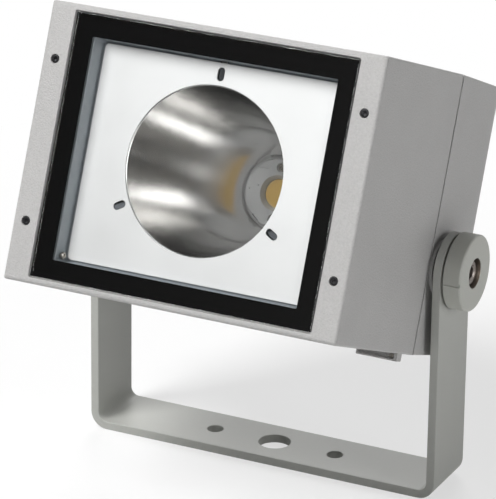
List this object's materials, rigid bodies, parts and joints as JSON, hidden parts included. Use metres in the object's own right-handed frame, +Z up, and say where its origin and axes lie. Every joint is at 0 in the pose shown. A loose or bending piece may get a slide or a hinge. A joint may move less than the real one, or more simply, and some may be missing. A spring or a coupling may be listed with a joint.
{
  "type": "led floodlight",
  "caption": "LED floodlight: a finned cast head with a flat front glass and a spun reflector, tilting in a U-shaped flat-bar yoke that bolts down by its base.",
  "frame": {"origin": "centre of the lamp's overall box, on the plane that the yoke's base rests on", "axes": "+Z up, the light leaves towards -Y and 22.5 degrees upwards, +X along the tilt axis"},
  "size_m": [0.29, 0.2586, 0.3367],
  "materials": {
    "coated_steel": "fine grey powder coat on steel flat bar",
    "coated_disc": "fine grey powder coat on turned aluminium",
    "coated_casting": "fine textured grey powder coat on die-cast aluminium",
    "stainless_steel": "plain stainless steel",
    "blackened_steel": "blackened steel",
    "spring_steel": "blackened spring steel",
    "fibre": "dark vulcanised fibre",
    "silicone": "black silicone rubber",
    "glass": "clear tempered glass with a black printed border on its back",
    "coated_sheet": "grey coated aluminium sheet",
    "bright_aluminium": "bright anodised reflector aluminium",
    "plain_aluminium": "plain aluminium circuit board",
    "thermal_pad": "grey thermal pad",
    "phosphor": "amber phosphor, matt",
    "white_plastic": "pale grey moulded plastic",
    "driver_case": "white moulded case, potted",
    "insulation": "dark silicone insulation",
    "black_nylon": "black nylon",
    "brass": "plain brass"
  },
  "bodies": {
    "yoke_frame": {"yoke": "coated_steel", "pivot_disc_left": "coated_disc", "pivot_disc_right": "coated_disc", "lock_washer_left": "stainless_steel", "lock_washer_right": "stainless_steel"},
    "head": {"front_housing": "coated_casting", "rear_housing": "coated_casting", "housing_gasket": "silicone", "front_glass": "glass", "glass_gasket": "silicone", "optic_frame": "coated_sheet", "reflector_plate": "bright_aluminium", "reflector": "bright_aluminium", "reflector_clip_1": "spring_steel", "reflector_clip_2": "spring_steel", "reflector_clip_3": "spring_steel", "frame_screw_left": "stainless_steel", "frame_screw_right": "stainless_steel", "front_screw_1": "blackened_steel", "front_screw_2": "blackened_steel", "front_screw_3": "blackened_steel", "front_screw_4": "blackened_steel", "housing_screw_1": "stainless_steel", "housing_screw_2": "stainless_steel", "housing_screw_3": "stainless_steel", "housing_screw_4": "stainless_steel", "lug_screw": "stainless_steel", "thermal_pad": "thermal_pad", "led_board": "plain_aluminium", "led_emitter": "phosphor", "led_holder": "white_plastic", "holder_screw_1": "stainless_steel", "holder_screw_2": "stainless_steel", "led_driver": "driver_case", "driver_screw_1": "stainless_steel", "driver_screw_2": "stainless_steel", "terminal_block": "white_plastic", "terminal_screw": "stainless_steel", "earth_screw": "brass", "led_lead": "insulation", "driver_lead": "insulation", "gland_body": "black_nylon", "gland_dome": "black_nylon", "gland_seal": "silicone", "vent_plug": "black_nylon", "friction_washer_left": "fibre", "friction_washer_right": "fibre"},
    "bolt_left": {"clamp_bolt_left": "stainless_steel"},
    "bolt_right": {"clamp_bolt_right": "stainless_steel"}
  },
  "joints": [
    {"name": "head_tilt", "type": "hinge", "parent": "yoke_frame", "child": "head", "pos_m": [0, 0.03587, 0.16], "axis": [1, 0, 0], "range_deg": [-67.5, 72.5]},
    {"name": "clamp_left", "type": "hinge", "parent": "head", "child": "bolt_left", "pos_m": [-0.13, 0.03587, 0.16], "axis": [-1, 0, 0], "range_deg": [0, 180]},
    {"name": "clamp_right", "type": "hinge", "parent": "head", "child": "bolt_right", "pos_m": [0.13, 0.03587, 0.16], "axis": [1, 0, 0], "range_deg": [0, 180]}
  ]
}
